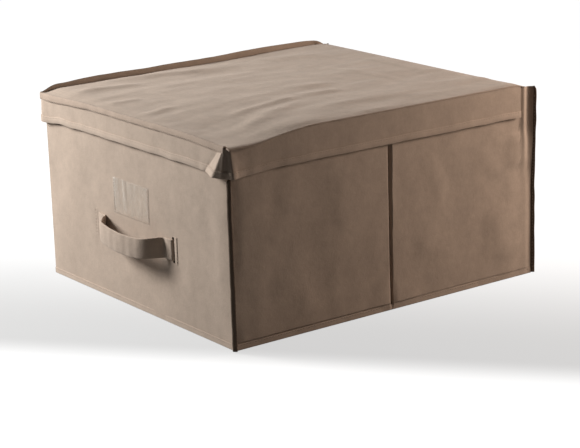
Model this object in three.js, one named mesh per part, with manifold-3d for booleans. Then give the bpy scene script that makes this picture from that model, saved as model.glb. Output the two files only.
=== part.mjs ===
// Folding wardrobe storage box: cloth sewn over card, with a hinged lid, a strap handle and a label pocket.
// Millimetres, +Z up. The origin is the centre of the underside. The handle faces -Y, the lid hinges at +Y.
import * as THREE from 'three';
import { mergeVertices } from 'three/addons/utils/BufferGeometryUtils.js';
import Module from 'manifold-3d';

// Box over its outer cloth, up to the top cloth of the lid
const boxWidth = 450;
const boxDepth = 500;
const boxHeight = 260;

// Thickness of the layers
const clothThickness = 0.8;
const liningThickness = 0.6;
const tapeThickness = 0.6;
const seamThickness = 1.5;
const wallBoardThickness = 2;
const lidBoardThickness = 2;
const baseBoardThickness = 2.4;
const filmThickness = 0.4;

// Clearances
const layerGap = 0.3;
const baseBoardClearance = 1.2;
const skirtClearance = 2.6;
const cutOverrun = 5;

// Tapes
const bottomTapeHeight = 8;
const rimTapeHeight = 10;
const hingeTapeHeight = 22;
const hingeTapeDrop = 3;

// Seams that stand out from the corners
const frontCornerReach = 7.5;
const frontCornerFootReach = 5;
const rearCornerReach = 6.5;
const rearCornerFootReach = 4;
const seamShoulderRise = 6;
const coveredSeamReach = 1;

// Crease in the middle of each side wall, where it folds inward
const creaseHalfWidth = 4;
const creaseDepth = 1.8;

// Tabs of the side walls that rise beside the rear of the lid
const rearTabRun = 20.7;
const rearTabRise = 5;
const rearTabClearance = 1;

// Lid
const skirtHeight = 40;
const hemTapeHeight = 9;
const leftTopSeamHeight = 9;
const frontTopSeamHeight = 6;

// Right top seam, which lies outward over the skirt and is widest at the front
const lipFrontReach = 4;
const lipRearReach = 1;
const lipFrontRun = 60;
const lipFadeRun = 100;

// Pleats at the front corners of the lid
const pleatFrontRun = 56;
const pleatValleyRun = 48;
const pleatRidgeRun = 23;
const pleatTopShare = 0.3;
const pleatSideRun = 24;
const pleatSideRidge = 5;
const rightPleatFlare = 6;
const leftPleatFlare = 2.5;
const pleatSideFlare = 3;
const pleatRecess = 1.4;
const pleatEndRun = 3;
const pleatRows = 6;
const pleatSteps = 24;

// Strap handle
const strapWidth = 30;
const strapThickness = 2;
const strapHeight = 102;
const strapDroop = 16;
const slotSpacing = 182;
const slotClearance = 2.5;
const tabLength = 19;
const tailLength = 20;
const riseRun = 24;
const strapStandOff = 25;
const strapCrown = 3;
const strapBend = 7;
const bendSteps = 5;
const flatSteps = 4;
const loopSplitRun = 18;

// Raised lips beside the slots
const lipWidth = 6;
const lipThickness = 1;
const lipMargin = 1;

// Label pocket
const pocketWidth = 95;
const pocketHeight = 54;
const pocketOffset = 12.5;
const pocketRise = 5;

// Layers of a wall, as depths from its outer face
const clothLayer = [0, clothThickness];
const boardLayer = layerInside(clothLayer, wallBoardThickness);
const liningLayer = layerInside(boardLayer, liningThickness);
const wallThickness = liningLayer[1];

// Heights
const floorTop = clothThickness + layerGap;
const rearTabTop = boxHeight + rearTabRise;
const lidSeamRoot = boxHeight - clothThickness - layerGap;
const lidBoardBottom = lidSeamRoot - lidBoardThickness;
const lidUnderside = lidBoardBottom - layerGap - liningThickness;
const rimTop = lidUnderside - layerGap;
const wallTop = rimTop - tapeThickness - layerGap;
const rimTapeFoot = rimTop - rimTapeHeight;
const skirtTop = lidSeamRoot - layerGap;
const skirtBottom = boxHeight - skirtHeight;

// Plan sizes
const halfWidth = boxWidth / 2;
const halfDepth = boxDepth / 2;
const seamHalf = seamThickness / 2 + layerGap;
const cornerNotch = clothThickness + Math.SQRT2 * seamHalf;
const lidOverhang = skirtClearance + liningThickness + layerGap + clothThickness;
const lidHalfWidth = halfWidth + lidOverhang;
const lidFront = -halfDepth - lidOverhang;
const lidRear = halfDepth - clothThickness - layerGap;
const lidRearHalfWidth = halfWidth - clothThickness - 2 * layerGap;
const rearTabFront = halfDepth - cornerNotch - rearTabRun;
const skirtRear = rearTabFront - rearTabClearance;
const boardFoldHalf = creaseHalfWidth + layerGap;
const slotX = slotSpacing / 2;
const strapFoot = strapHeight - strapWidth / 2;
const strapHead = strapHeight + strapWidth / 2;

const cloth = new THREE.MeshStandardMaterial({ color: 0xb09e8e, roughness: 0.9 });
const seamCloth = new THREE.MeshStandardMaterial({ color: 0x8d7a6a, roughness: 0.9 });
const tapeCloth = new THREE.MeshStandardMaterial({ color: 0xa59282, roughness: 0.9 });
const lining = new THREE.MeshStandardMaterial({ color: 0xc2b3a4, roughness: 0.95 });
const card = new THREE.MeshStandardMaterial({ color: 0xb8a888, roughness: 0.95 });
const strapCloth = new THREE.MeshStandardMaterial({ color: 0xa28f80, roughness: 0.85 });
const film = new THREE.MeshStandardMaterial({
  color: 0xe6e2dc, roughness: 0.15, transparent: true, opacity: 0.35,
});

const wasm = await Module();
wasm.setup();

function layerInside(layer, thickness) {
  const start = layer[1] + layerGap;
  return [start, start + thickness];
}

function block(x, y, z) {
  const geometry = new THREE.BoxGeometry(x[1] - x[0], y[1] - y[0], z[1] - z[0]);
  geometry.translate((x[0] + x[1]) / 2, (y[0] + y[1]) / 2, (z[0] + z[1]) / 2);
  return geometry;
}

function solidOf(geometry) {
  const bare = geometry.clone();
  bare.deleteAttribute('normal');
  bare.deleteAttribute('uv');
  const merged = mergeVertices(bare);
  return new wasm.Manifold(new wasm.Mesh({
    numProp: 3,
    vertProperties: merged.attributes.position.array,
    triVerts: Uint32Array.from(merged.index.array),
  }));
}

function geometryOf(solid) {
  const mesh = solid.getMesh();
  const geometry = new THREE.BufferGeometry();
  geometry.setAttribute('position', new THREE.BufferAttribute(mesh.vertProperties, 3));
  geometry.setIndex(new THREE.BufferAttribute(mesh.triVerts, 1));
  geometry.computeVertexNormals();
  return geometry;
}

function cutAll(geometry, cutters) {
  const cut = cutters.reduce((rest, cutter) => rest.subtract(solidOf(cutter)), solidOf(geometry));
  return geometryOf(cut);
}

function joinAll(geometries) {
  const solids = geometries.map((geometry) => solidOf(geometry));
  return geometryOf(solids.reduce((whole, solid) => whole.add(solid)));
}

function add(parent, name, geometry, material) {
  const mesh = new THREE.Mesh(geometry, material);
  mesh.name = name;
  parent.add(mesh);
  return mesh;
}

// A profile drawn in (y, z), swept along x
function sweepAlongX(profile, x) {
  const geometry = new THREE.ExtrudeGeometry(profile, { depth: x[1] - x[0], bevelEnabled: false });
  const axes = new THREE.Matrix4().makeBasis(
    new THREE.Vector3(0, 1, 0),
    new THREE.Vector3(0, 0, 1),
    new THREE.Vector3(1, 0, 0),
  );
  geometry.applyMatrix4(axes);
  geometry.translate(x[0], 0, 0);
  return geometry;
}

// A tape folded round the edge of a wall or skirt: two flanges and the web that joins them
function foldedTape(yOuter, yInner, zWeb, zTip) {
  const inward = Math.sign(yInner - yOuter) * tapeThickness;
  const along = Math.sign(zTip - zWeb) * tapeThickness;
  return new THREE.Shape([
    new THREE.Vector2(yOuter, zTip),
    new THREE.Vector2(yOuter, zWeb),
    new THREE.Vector2(yInner, zWeb),
    new THREE.Vector2(yInner, zTip),
    new THREE.Vector2(yInner - inward, zTip),
    new THREE.Vector2(yInner - inward, zWeb + along),
    new THREE.Vector2(yOuter + inward, zWeb + along),
    new THREE.Vector2(yOuter + inward, zTip),
  ]);
}

// The two sides of a band of even thickness along a line of points
function bandSides(points, thickness) {
  const sides = [[], []];
  points.forEach((point, i) => {
    const before = points[Math.max(i - 1, 0)];
    const after = points[Math.min(i + 1, points.length - 1)];
    const along = after.clone().sub(before).normalize();
    const offset = new THREE.Vector2(-along.y, along.x).multiplyScalar(thickness / 2);
    sides[0].push(point.clone().add(offset));
    sides[1].push(point.clone().sub(offset));
  });
  return sides;
}

// The outline of such a band
function band(points, thickness) {
  const [left, right] = bandSides(points, thickness);
  return left.concat(right.reverse());
}

// A line through corners, each one rounded
function roundedLine(corners, radius) {
  const points = [corners[0]];
  for (let i = 1; i < corners.length - 1; i += 1) {
    const back = corners[i - 1].clone().sub(corners[i]);
    const ahead = corners[i + 1].clone().sub(corners[i]);
    const reach = Math.min(radius, back.length() / 2, ahead.length() / 2);
    const start = corners[i].clone().add(back.setLength(reach));
    const end = corners[i].clone().add(ahead.setLength(reach));
    points.push(...new THREE.QuadraticBezierCurve(start, corners[i], end).getPoints(bendSteps));
  }
  points.push(corners[corners.length - 1]);
  return points;
}

// A closed solid through rings of points, each ring anticlockwise as seen from the last one.
// Each cap is a list of triangles over the points of its ring.
function loft(rings, firstCap, lastCap) {
  const count = rings[0].length;
  const positions = rings.flatMap((ring) => ring.flatMap((point) => point.toArray()));
  const indices = [];
  for (let row = 0; row + 1 < rings.length; row += 1) {
    for (let i = 0; i < count; i += 1) {
      const a = row * count + i;
      const b = row * count + ((i + 1) % count);
      indices.push(a, b, b + count, a, b + count, a + count);
    }
  }
  const top = (rings.length - 1) * count;
  firstCap.forEach(([a, b, c]) => indices.push(c, b, a));
  lastCap.forEach(([a, b, c]) => indices.push(top + a, top + b, top + c));
  const geometry = new THREE.BufferGeometry();
  geometry.setAttribute('position', new THREE.Float32BufferAttribute(positions, 3));
  geometry.setIndex(indices);
  geometry.computeVertexNormals();
  return geometry;
}

// A closed solid through plan outlines of equal length, stacked at rising heights
function stack(outlines, heights) {
  const plans = outlines.map((outline) => {
    const points = outline.map((point) => point.clone());
    return THREE.ShapeUtils.isClockWise(points) ? points.reverse() : points;
  });
  const rings = plans.map((plan, row) => (
    plan.map((point) => new THREE.Vector3(point.x, point.y, heights[row]))
  ));
  const firstCap = THREE.ShapeUtils.triangulateShape(plans[0], []);
  const lastCap = THREE.ShapeUtils.triangulateShape(plans[plans.length - 1], []);
  return loft(rings, firstCap, lastCap);
}

// A plan outline raised between two heights
function raise(outline, height) {
  return stack([outline, outline], height);
}

// A wall's own frame: x along the wall, y inward from its outer face, z up
function wallFrame(parent, turn, distance) {
  const frame = new THREE.Group();
  frame.rotation.z = turn;
  frame.position.set(distance * Math.sin(turn), -distance * Math.cos(turn), 0);
  parent.add(frame);
  return frame;
}

function symmetric(half) {
  return [-half, half];
}

// A run along a wall, given toward the rear, for a wall whose own x points to the rear or to the front
function facing(rearSign, run) {
  return rearSign > 0 ? run : [-run[1], -run[0]];
}

// A blade of two seam allowances: outline drawn as (reach from the wall, height)
function standingSeam(parent, name, outline, x, y, turn) {
  const shape = new THREE.Shape(outline.map(([reach, height]) => new THREE.Vector2(reach, height)));
  const geometry = new THREE.ExtrudeGeometry(shape, { depth: seamThickness, bevelEnabled: false });
  geometry.translate(0, 0, -seamThickness / 2);
  geometry.rotateX(Math.PI / 2);
  const seam = add(parent, name, geometry, seamCloth);
  seam.position.set(x, y, 0);
  seam.rotation.z = turn;
}

function frontWall(parent) {
  const frame = wallFrame(parent, 0, halfDepth);
  const height = [floorTop, wallTop];
  const slotHalf = strapThickness / 2 + slotClearance;
  const slotHeight = [strapFoot - slotClearance, strapHead + slotClearance];
  const slots = [-slotX, slotX].map((x) => (
    block([x - slotHalf, x + slotHalf], [-cutOverrun, clothThickness + cutOverrun], slotHeight)
  ));
  const windows = [-1, 1].map((side) => {
    const near = side * (slotX - strapThickness / 2 - slotClearance);
    const far = side * (slotX + tailLength + slotClearance);
    const x = [Math.min(near, far), Math.max(near, far)];
    return block(x, [boardLayer[0] - cutOverrun, boardLayer[1] + cutOverrun], slotHeight);
  });
  const clothSheet = block(symmetric(halfWidth - cornerNotch), clothLayer, height);
  const boardSheet = block(symmetric(halfWidth - boardLayer[1] - layerGap), boardLayer, height);
  const liningSheet = block(symmetric(halfWidth - liningLayer[1] - layerGap), liningLayer, height);
  add(frame, 'front_cloth', cutAll(clothSheet, slots), cloth);
  add(frame, 'front_stiffener', cutAll(boardSheet, windows), card);
  add(frame, 'front_lining', liningSheet, lining);
  const rimHalf = halfWidth - wallThickness - 2 * layerGap - tapeThickness;
  rimTape(frame, 'front_rim_tape', symmetric(rimHalf));
  bottomTape(frame, 'front_bottom_tape', halfWidth);
}

function backWall(parent) {
  const frame = wallFrame(parent, Math.PI, halfDepth);
  const height = [floorTop, rimTop];
  const clothHalf = halfWidth - cornerNotch;
  const boardHalf = halfWidth - boardLayer[1] - layerGap;
  const liningHalf = halfWidth - liningLayer[1] - layerGap;
  add(frame, 'back_cloth', block(symmetric(clothHalf), clothLayer, [floorTop, boxHeight]), cloth);
  add(frame, 'back_stiffener', block(symmetric(boardHalf), boardLayer, height), card);
  add(frame, 'back_lining', block(symmetric(liningHalf), liningLayer, height), lining);
  const tapeTop = boxHeight - hingeTapeDrop;
  const tapeDepth = [-layerGap - tapeThickness, -layerGap];
  const tape = block(symmetric(clothHalf), tapeDepth, [tapeTop - hingeTapeHeight, tapeTop]);
  add(frame, 'hinge_tape', tape, tapeCloth);
  bottomTape(frame, 'back_bottom_tape', halfWidth);
}

// A sheet that dips inward along a crease across its middle
function creasedSheet(run, depth, height) {
  const line = [
    [run[0], 0],
    [-creaseHalfWidth, 0],
    [0, creaseDepth],
    [creaseHalfWidth, 0],
    [run[1], 0],
  ];
  const outer = line.map(([x, dip]) => new THREE.Vector2(x, depth[0] + dip));
  const inner = line.map(([x, dip]) => new THREE.Vector2(x, depth[1] + dip));
  return raise(outer.concat(inner.reverse()), height);
}

// A side wall has two stiffeners and folds inward at the crease between them
function sideWall(parent, side, turn) {
  const frame = wallFrame(parent, turn, halfWidth);
  const rearSign = side === 'right' ? 1 : -1;
  const height = [floorTop, wallTop];
  const clothHalf = halfDepth - cornerNotch;
  const tabRun = facing(rearSign, [rearTabFront, clothHalf]);
  const tab = block(tabRun, clothLayer, [wallTop - cutOverrun, rearTabTop]);
  const sheet = creasedSheet(symmetric(clothHalf), clothLayer, height);
  add(frame, `${side}_cloth`, joinAll([sheet, tab]), cloth);
  ['front', 'rear'].forEach((half) => {
    const halfSign = half === 'rear' ? rearSign : -rearSign;
    const boardRun = facing(halfSign, [boardFoldHalf, halfDepth - clothThickness - layerGap]);
    add(frame, `${side}_${half}_stiffener`, block(boardRun, boardLayer, height), card);
  });
  const liningHalf = halfDepth - liningLayer[0] - layerGap;
  add(frame, `${side}_lining`, block(symmetric(liningHalf), liningLayer, height), lining);
  const rimRun = [wallThickness + layerGap - halfDepth, rearTabFront - layerGap];
  rimTape(frame, `${side}_rim_tape`, facing(rearSign, rimRun));
  bottomTape(frame, `${side}_bottom_tape`, halfDepth);
}

function rimTape(frame, name, run) {
  const outer = -layerGap - tapeThickness;
  const inner = wallThickness + layerGap + tapeThickness;
  add(frame, name, sweepAlongX(foldedTape(outer, inner, rimTop, rimTapeFoot), run), tapeCloth);
}

function bottomTape(frame, name, wallHalf) {
  const depth = [-layerGap - tapeThickness, -layerGap];
  const height = [layerGap, layerGap + bottomTapeHeight];
  add(frame, name, block(symmetric(wallHalf - cornerNotch), depth, height), tapeCloth);
}

function cornerSeams(parent) {
  const seamTop = rimTapeFoot - layerGap;
  const shoulder = skirtBottom - layerGap;
  const frontOutline = [
    [-clothThickness, floorTop],
    [frontCornerFootReach, floorTop],
    [frontCornerReach, shoulder - seamShoulderRise],
    [coveredSeamReach, shoulder],
    [coveredSeamReach, seamTop],
    [-clothThickness, seamTop],
  ];
  const rearOutline = [
    [-clothThickness, floorTop],
    [rearCornerFootReach, floorTop],
    [rearCornerReach, rearTabTop - seamShoulderRise],
    [rearCornerReach / 2, rearTabTop],
    [-clothThickness, rearTabTop],
  ];
  standingSeam(parent, 'front_left_corner_seam', frontOutline, -halfWidth, -halfDepth, -Math.PI * 3 / 4);
  standingSeam(parent, 'front_right_corner_seam', frontOutline, halfWidth, -halfDepth, -Math.PI / 4);
  standingSeam(parent, 'rear_right_corner_seam', rearOutline, halfWidth, halfDepth, Math.PI / 4);
  standingSeam(parent, 'rear_left_corner_seam', rearOutline, -halfWidth, halfDepth, Math.PI * 3 / 4);
}

function labelPocket(parent) {
  const frame = wallFrame(parent, 0, halfDepth);
  const middle = -pocketOffset;
  const foot = strapHead + pocketRise;
  const sheet = block(
    [middle - pocketWidth / 2, middle + pocketWidth / 2],
    [-layerGap - filmThickness, -layerGap],
    [foot, foot + pocketHeight],
  );
  add(frame, 'label_pocket_film', sheet, film);
}

// A line whose long straight pieces are divided into equal steps
function divided(points) {
  const pieces = points.slice(1).map((end, i) => {
    const steps = end.distanceTo(points[i]) > strapBend ? flatSteps : 1;
    return Array.from({ length: steps }, (_, step) => points[i].clone().lerp(end, step / steps));
  });
  return pieces.flat().concat(points[points.length - 1]);
}

// Centre line of the strap in front of the cloth, as (x, -distance from the cloth)
function strapLine() {
  const flat = layerGap + strapThickness / 2;
  const riseStart = slotX - tabLength;
  const shoulder = riseStart - riseRun;
  const half = [new THREE.Vector2(slotX, -flat), new THREE.Vector2(riseStart, -flat)];
  for (let step = 0; step <= flatSteps; step += 1) {
    const away = 1 - step / flatSteps;
    half.push(new THREE.Vector2(shoulder * away, -strapStandOff - strapCrown * (1 - away ** 2)));
  }
  const mirrored = half.slice(0, -1).reverse().map((point) => new THREE.Vector2(-point.x, point.y));
  return divided(roundedLine(half.concat(mirrored), strapBend));
}

// How far the strap is turned down: nothing at its feet, all of it on the loop
function droopAt(x) {
  const share = THREE.MathUtils.smoothstep(slotX - tabLength - Math.abs(x), 0, riseRun);
  return THREE.MathUtils.degToRad(strapDroop) * share;
}

// The strap as a ribbon of even thickness, turned down about the line through its feet
function strapRibbon() {
  const line = strapLine();
  const [outer, inner] = bandSides(line, strapThickness);
  const pivot = new THREE.Vector3(0, -layerGap - strapThickness / 2, strapHeight);
  const axis = new THREE.Vector3(1, 0, 0);
  const rings = line.map((point, i) => {
    const ring = [
      new THREE.Vector3(outer[i].x, outer[i].y, strapFoot),
      new THREE.Vector3(outer[i].x, outer[i].y, strapHead),
      new THREE.Vector3(inner[i].x, inner[i].y, strapHead),
      new THREE.Vector3(inner[i].x, inner[i].y, strapFoot),
    ];
    const droop = droopAt(point.x);
    return ring.map((corner) => corner.sub(pivot).applyAxisAngle(axis, droop).add(pivot));
  });
  const cap = [[0, 1, 2], [0, 2, 3]];
  return loft(rings, cap, cap);
}

function strapEnd(whole, splitX) {
  const depth = [-layerGap - strapThickness, boardLayer[1]];
  const height = [strapFoot, strapHead];
  const loopSide = [splitX - boxWidth, splitX + layerGap / 2];
  const cutter = block(loopSide, symmetric(boxDepth), [0, boxHeight]);
  const neck = block([slotX - strapThickness / 2, slotX + strapThickness / 2], depth, height);
  const tail = block([slotX - strapThickness / 2, slotX + tailLength], boardLayer, height);
  return geometryOf(whole.subtract(solidOf(cutter)).add(solidOf(neck)).add(solidOf(tail)));
}

function strapHandle(parent, loopParent) {
  const whole = solidOf(strapRibbon());
  const splitX = slotX - tabLength - loopSplitRun;
  const middle = block(symmetric(splitX - layerGap / 2), symmetric(boxDepth), [0, boxHeight]);
  const loopFrame = wallFrame(loopParent, 0, halfDepth);
  add(loopFrame, 'strap_loop', geometryOf(whole.intersect(solidOf(middle))), strapCloth);

  const lipX = slotX + strapThickness / 2 + slotClearance + lipMargin;
  const lipDepth = [-layerGap - lipThickness, -layerGap];
  const lipHeight = [strapFoot - slotClearance - lipMargin, strapHead + slotClearance + lipMargin];
  [['right', 1], ['left', -1]].forEach(([side, sign]) => {
    const frame = wallFrame(parent, 0, halfDepth);
    frame.scale.x = sign;
    add(frame, `${side}_strap_end`, strapEnd(whole, splitX), strapCloth);
    add(frame, `${side}_slot_lip`, block([lipX, lipX + lipWidth], lipDepth, lipHeight), tapeCloth);
  });
}

function baseCloth(parent) {
  const sheet = block(symmetric(halfWidth), symmetric(halfDepth), [0, clothThickness]);
  add(parent, 'base_cloth', sheet, cloth);
}

function baseBoard(parent) {
  const half = [
    halfWidth - wallThickness - baseBoardClearance,
    halfDepth - wallThickness - baseBoardClearance,
  ];
  const boardTop = floorTop + baseBoardThickness;
  const coverTop = boardTop + layerGap + liningThickness;
  const inset = half.map((value) => value - liningThickness);
  const boardHalf = inset.map((value) => value - layerGap);
  const outside = block(symmetric(half[0]), symmetric(half[1]), [floorTop, coverTop]);
  const hollowHeight = [floorTop - cutOverrun, boardTop + layerGap];
  const hollow = block(symmetric(inset[0]), symmetric(inset[1]), hollowHeight);
  const board = block(symmetric(boardHalf[0]), symmetric(boardHalf[1]), [floorTop, boardTop]);
  add(parent, 'base_board', board, card);
  add(parent, 'base_board_cover', cutAll(outside, [hollow]), lining);
}

function skirt(parent, side, turn, wallHalf, run) {
  const frame = wallFrame(parent, turn, wallHalf);
  const height = [skirtBottom + tapeThickness + layerGap, skirtTop];
  const outer = [-lidOverhang, -lidOverhang + clothThickness];
  const inner = [-skirtClearance - liningThickness, -skirtClearance];
  add(frame, `${side}_skirt`, block(run, outer, height), cloth);
  add(frame, `${side}_skirt_lining`, block(run, inner, height), lining);
  const tapeOuter = -lidOverhang - layerGap - tapeThickness;
  const tapeInner = -skirtClearance + layerGap + tapeThickness;
  const profile = foldedTape(tapeOuter, tapeInner, skirtBottom, skirtBottom + hemTapeHeight);
  add(frame, `${side}_skirt_hem`, sweepAlongX(profile, run), tapeCloth);
}

// Surplus cloth of the skirt beside the corner: a valley and a ridge that spread toward the hem
function pleatLine(share, flare) {
  const middle = (lidOverhang - skirtClearance) / 2;
  const recess = middle + pleatRecess * share;
  const spread = pleatTopShare + (1 - pleatTopShare) * share;
  const valley = pleatValleyRun * spread;
  const ridge = pleatRidgeRun * spread;
  const frontEnd = new THREE.Vector2(-pleatFrontRun + layerGap, middle);
  const sideEnd = new THREE.Vector2(-middle, pleatSideRun - layerGap);
  const bends = new THREE.SplineCurve([
    frontEnd.clone().setX(frontEnd.x + pleatEndRun),
    new THREE.Vector2(-valley, middle),
    new THREE.Vector2(-ridge, middle - flare * share),
    new THREE.Vector2(-ridge / 2, middle - flare * share / 2),
    new THREE.Vector2(-recess, recess),
    new THREE.Vector2(-middle + pleatSideFlare * share, pleatSideRidge),
    sideEnd.clone().setY(sideEnd.y - pleatEndRun),
  ]);
  return [frontEnd, ...bends.getPoints(pleatSteps), sideEnd];
}

function cornerPleat(parent, side, flare) {
  const outlines = [];
  const heights = [];
  for (let row = 0; row <= pleatRows; row += 1) {
    const rise = row / pleatRows;
    outlines.push(band(pleatLine(1 - rise, flare), lidOverhang - skirtClearance));
    heights.push(skirtBottom + (skirtTop - skirtBottom) * rise);
  }
  const frame = new THREE.Group();
  const sign = side === 'right' ? 1 : -1;
  frame.position.set(sign * lidHalfWidth, lidFront, 0);
  frame.scale.x = sign;
  parent.add(frame);
  add(frame, `${side}_corner_pleat`, stack(outlines, heights), cloth);
}

// A sheet of the lid, narrower at the rear, where it lies between the tabs of the side walls
function lidSheet(half, front, height) {
  const right = [
    new THREE.Vector2(half, front),
    new THREE.Vector2(half, skirtRear),
    new THREE.Vector2(lidRearHalfWidth, skirtRear),
    new THREE.Vector2(lidRearHalfWidth, lidRear),
  ];
  const left = right.map((point) => new THREE.Vector2(-point.x, point.y));
  return raise(right.concat(left.reverse()), height);
}

// The right top seam lies outward over the skirt, as a lip that narrows toward the rear
function rightTopSeam(parent) {
  const inner = lidHalfWidth - seamThickness;
  const wide = lidHalfWidth + lipFrontReach;
  const narrow = lidHalfWidth + lipRearReach;
  const outline = [
    new THREE.Vector2(inner, lidFront),
    new THREE.Vector2(wide, lidFront),
    new THREE.Vector2(wide, lidFront + lipFrontRun),
    new THREE.Vector2(narrow, lidFront + lipFrontRun + lipFadeRun),
    new THREE.Vector2(narrow, skirtRear),
    new THREE.Vector2(inner, skirtRear),
  ];
  add(parent, 'lid_right_seam', raise(outline, [lidSeamRoot, lidSeamRoot + seamThickness]), seamCloth);
}

function lid(parent) {
  const sheetHalf = lidHalfWidth - seamThickness - layerGap;
  const sheetFront = lidFront + seamThickness + layerGap;
  const innerHalf = halfWidth + skirtClearance - layerGap;
  const innerFront = -halfDepth - skirtClearance + layerGap;
  const topHeight = [boxHeight - clothThickness, boxHeight];
  const boardHeight = [lidBoardBottom, lidSeamRoot];
  const liningHeight = [lidUnderside, lidUnderside + liningThickness];
  add(parent, 'lid_cloth', lidSheet(sheetHalf, sheetFront, topHeight), cloth);
  add(parent, 'lid_stiffener', lidSheet(innerHalf, innerFront, boardHeight), card);
  add(parent, 'lid_lining', lidSheet(innerHalf, innerFront, liningHeight), lining);

  const leftX = [-lidHalfWidth, -lidHalfWidth + seamThickness];
  const leftHeight = [lidSeamRoot, boxHeight + leftTopSeamHeight];
  const frontY = [lidFront, lidFront + seamThickness];
  const frontHeight = [lidSeamRoot, boxHeight + frontTopSeamHeight];
  add(parent, 'lid_left_seam', block(leftX, [lidFront, skirtRear], leftHeight), seamCloth);
  add(parent, 'lid_front_seam', block(symmetric(sheetHalf), frontY, frontHeight), seamCloth);
  rightTopSeam(parent);

  const frontRun = symmetric(lidHalfWidth - pleatFrontRun);
  const sideRun = [lidFront + pleatSideRun, skirtRear];
  skirt(parent, 'front', 0, halfDepth, frontRun);
  skirt(parent, 'right', Math.PI / 2, halfWidth, facing(1, sideRun));
  skirt(parent, 'left', -Math.PI / 2, halfWidth, facing(-1, sideRun));
  cornerPleat(parent, 'right', rightPleatFlare);
  cornerPleat(parent, 'left', leftPleatFlare);
}

const storageBox = new THREE.Group();
storageBox.name = 'wardrobe_storage_box';
const body = new THREE.Group();
const lidGroup = new THREE.Group();
const handleGroup = new THREE.Group();
const baseGroup = new THREE.Group();
storageBox.add(body, lidGroup, handleGroup, baseGroup);

baseCloth(body);
frontWall(body);
backWall(body);
sideWall(body, 'right', Math.PI / 2);
sideWall(body, 'left', -Math.PI / 2);
cornerSeams(body);
labelPocket(body);
strapHandle(body, handleGroup);
baseBoard(baseGroup);
lid(lidGroup);

export default storageBox;
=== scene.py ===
import math

import bmesh
import bpy
import numpy as np
from mathutils import Matrix, Vector


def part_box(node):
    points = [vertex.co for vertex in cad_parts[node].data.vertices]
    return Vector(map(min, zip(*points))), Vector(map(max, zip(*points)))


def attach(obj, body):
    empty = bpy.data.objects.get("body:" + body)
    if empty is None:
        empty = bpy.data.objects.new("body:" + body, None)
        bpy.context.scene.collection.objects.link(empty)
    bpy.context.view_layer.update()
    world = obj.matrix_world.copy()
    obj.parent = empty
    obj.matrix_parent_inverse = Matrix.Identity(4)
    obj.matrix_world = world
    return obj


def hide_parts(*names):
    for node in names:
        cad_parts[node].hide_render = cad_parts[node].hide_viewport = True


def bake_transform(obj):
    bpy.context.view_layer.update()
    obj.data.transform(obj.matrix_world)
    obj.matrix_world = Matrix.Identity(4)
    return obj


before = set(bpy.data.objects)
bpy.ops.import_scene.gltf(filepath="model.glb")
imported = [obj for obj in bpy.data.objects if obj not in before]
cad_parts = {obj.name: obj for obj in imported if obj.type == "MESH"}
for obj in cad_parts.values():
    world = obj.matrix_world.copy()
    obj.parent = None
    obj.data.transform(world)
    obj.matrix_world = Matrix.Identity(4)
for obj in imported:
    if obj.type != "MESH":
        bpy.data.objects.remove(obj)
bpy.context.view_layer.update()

MM = 0.001

# Mesh density
PANEL_STEP = 5.0
LINING_STEP = 9.0
SEAM_STEP = 4.0
SHARP_ANGLE = math.radians(50)

# Unevenness of cloth
RIPPLE_WAVES = 14
RIPPLE_RATES = (0.7, 1.6)
RIPPLE_PEAK = 1.3
FOLD_FADE = 0.3


def extent(node):
    """Lowest and highest corner of a CAD node, in millimetres"""
    low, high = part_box(node)
    return np.array(low) / MM, np.array(high) / MM


# Sizes from the frame
HALF_WIDTH, HALF_DEPTH, CLOTH = extent("base_cloth")[1]
FRONT_LOW, FRONT_HIGH = extent("front_cloth")
WALL_TOP = FRONT_HIGH[2]
SIDE_LOW, SIDE_HIGH = extent("right_cloth")
TAB_FRONT = extent("right_rim_tape")[1][1]
LINING_LOW, LINING_HIGH = extent("front_lining")
LINING_DEPTH = HALF_DEPTH + LINING_HIGH[1]
LINING = LINING_HIGH[1] - LINING_LOW[1]
LID_LOW, LID_HIGH = extent("lid_cloth")
SKIRT_X, SKIRT_REAR, SKIRT_TOP = extent("right_skirt")[1]
SKIRT_FRONT = extent("front_skirt")[0][1]
SKIRT_WALL = SKIRT_X - extent("right_skirt_lining")[0][0]
HEM_LOW, HEM_HIGH = extent("right_skirt_hem")

# Shared sizes
PANEL_EDGE = 0.9
TAPE = 0.6
STRAP_WIDTH = 28.0
STRAP_THICKNESS = 2.6
STRAP_MIDDLE = 102.0
SLOT_X = 91.0
UP = np.array([0, 0, 1])
OUTWARD = {
    "front": np.array([0, -1, 0]),
    "back": np.array([0, 1, 0]),
    "right": np.array([1, 0, 0]),
    "left": np.array([-1, 0, 0]),
}
WALLS = ("front", "back", "left", "right")


def ease(value, start, end):
    """0 up to the start, 1 from the end on, and a smooth rise between"""
    share = np.clip((value - start) / (end - start), 0, 1)
    return share * share * (3 - 2 * share)


def hump(offset, width):
    """1 where the offset is 0, falling off smoothly on both sides"""
    return np.exp(-(offset / width) ** 2)


def ripple(u, v, size, seed):
    """Smooth unevenness, about -1 to 1, with features size apart along u and along v"""
    draw = np.random.default_rng(seed)
    total = 0
    for _ in range(RIPPLE_WAVES):
        turn = draw.uniform(0, 2 * math.pi)
        rate = draw.uniform(*RIPPLE_RATES) * math.pi
        phase = draw.uniform(0, 2 * math.pi)
        total = total + np.cos(rate * (u * math.cos(turn) / size[0] + v * math.sin(turn) / size[1]) + phase)
    return total / (RIPPLE_PEAK * math.sqrt(RIPPLE_WAVES))


def waves(u, v, seed, *layers):
    """Ripples of several sizes together: each layer is (height, size), and the seeds run on from the first"""
    return sum(height * ripple(u, v, size, seed + i) for i, (height, size) in enumerate(layers))


def edge_waves(along, seed, *layers):
    """The same along a line, where one length gives the size"""
    return waves(along, along, seed, *((height, (size, size)) for height, size in layers))


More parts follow.
